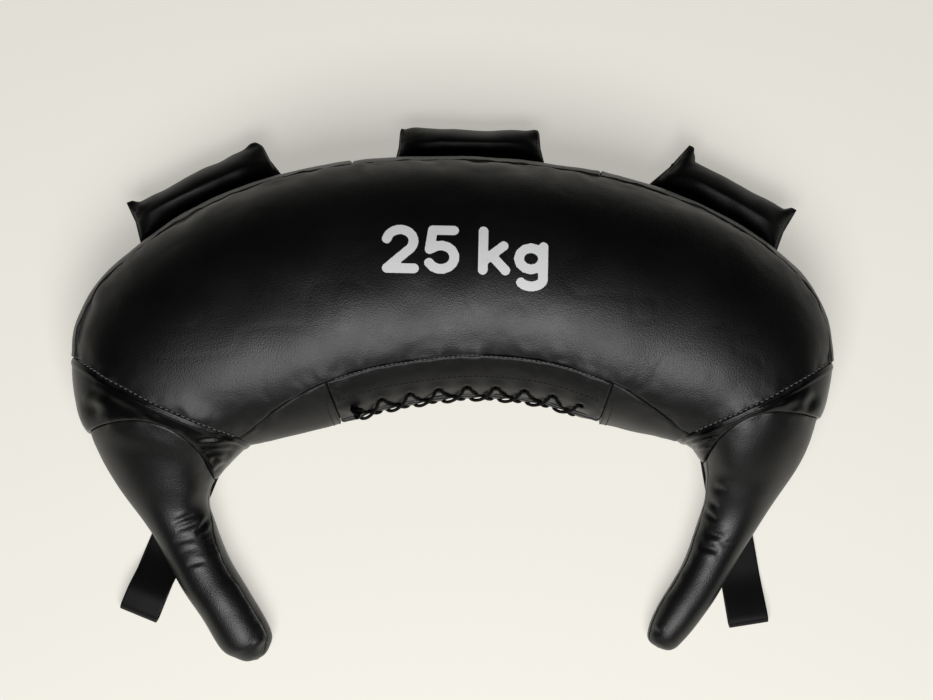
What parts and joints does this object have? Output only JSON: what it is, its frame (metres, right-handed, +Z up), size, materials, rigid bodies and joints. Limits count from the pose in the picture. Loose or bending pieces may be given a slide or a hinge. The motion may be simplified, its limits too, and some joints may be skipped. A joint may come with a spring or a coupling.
{
  "type": "bulgarian bag",
  "caption": "Crescent-shaped sand bag for strength training, with two tapering horns to hold, padded grips on its outer edge, webbing loops and a laced closure.",
  "frame": {"origin": "centre of the bounding box in plan, on the floor plane that the back lies on", "axes": "+Z up out of the front, +X along the length towards the right end, +Y from the horn tips towards the grips"},
  "size_m": [0.7215, 0.5152, 0.172],
  "materials": {
    "panel_leather": "satin",
    "gusset_leather": "satin",
    "placket_leather": "satin",
    "tongue_leather": "matte",
    "yoke_leather": "gloss",
    "horn_leather": "satin",
    "grip_leather": "satin",
    "lace_cord": "matte",
    "webbing": "matte",
    "grip_foam": "matte",
    "wadding": "matte",
    "sand_canvas": "matte"
  },
  "bodies": {
    "root": {"front_panel": "panel_leather", "back_panel": "panel_leather", "outer_gusset_left": "gusset_leather", "outer_gusset_centre": "gusset_leather", "outer_gusset_right": "gusset_leather", "inner_gusset_left": "gusset_leather", "inner_gusset_right": "gusset_leather", "lace_placket_front": "placket_leather", "lace_placket_back": "placket_leather", "lace": "lace_cord", "lace_tongue": "tongue_leather", "yoke_left": "yoke_leather", "yoke_right": "yoke_leather", "loop_anchor_left": "webbing", "loop_anchor_right": "webbing", "wadding_liner": "wadding", "end_pad_left": "wadding", "end_pad_right": "wadding", "sand_sack_1": "sand_canvas", "sand_sack_2": "sand_canvas", "sand_sack_3": "sand_canvas", "sand_sack_4": "sand_canvas"},
    "grip_left": {"grip_cover_left": "grip_leather", "grip_core_left": "grip_foam", "grip_strap_left": "webbing"},
    "grip_centre": {"grip_cover_centre": "grip_leather", "grip_core_centre": "grip_foam", "grip_strap_centre": "webbing"},
    "grip_right": {"grip_cover_right": "grip_leather", "grip_core_right": "grip_foam", "grip_strap_right": "webbing"},
    "loop_left": {"webbing_loop_left": "webbing"},
    "loop_right": {"webbing_loop_right": "webbing"},
    "horn_left": {"horn_cover_left": "horn_leather", "horn_core_left": "wadding"},
    "horn_right": {"horn_cover_right": "horn_leather", "horn_core_right": "wadding"}
  },
  "joints": [
    {"name": "grip_left_fold", "type": "hinge", "parent": "root", "child": "grip_left", "pos_m": [-0.23569, 0.16942, 0.04442], "axis": [0.91, 0.4147, 0], "range_deg": [-80, 30]},
    {"name": "grip_centre_fold", "type": "hinge", "parent": "root", "child": "grip_centre", "pos_m": [0.0151, 0.21372, 0.0469], "axis": [1, -0.007, 0], "range_deg": [-80, 30]},
    {"name": "grip_right_fold", "type": "hinge", "parent": "root", "child": "grip_right", "pos_m": [0.25865, 0.15639, 0.04396], "axis": [0.866, -0.5, 0], "range_deg": [-80, 30]},
    {"name": "loop_left_swing", "type": "hinge", "parent": "root", "child": "loop_left", "pos_m": [-0.23417, -0.04402, 0.00538], "axis": [0.9265, -0.3762, 0], "range_deg": [0, 90]},
    {"name": "loop_right_swing", "type": "hinge", "parent": "root", "child": "loop_right", "pos_m": [0.25753, -0.04272, 0.00685], "axis": [0.988, 0.1547, 0], "range_deg": [0, 90]},
    {"name": "horn_left_flex", "type": "hinge", "parent": "root", "child": "horn_left", "pos_m": [-0.29674, -0.11873, 0.045], "axis": [0, 0, 1], "range_deg": [-7, 15], "stiffness_Nm_per_rad": 6},
    {"name": "horn_right_flex", "type": "hinge", "parent": "root", "child": "horn_right", "pos_m": [0.3036, -0.11102, 0.045], "axis": [0, 0, -1], "range_deg": [-7, 15], "stiffness_Nm_per_rad": 6}
  ]
}
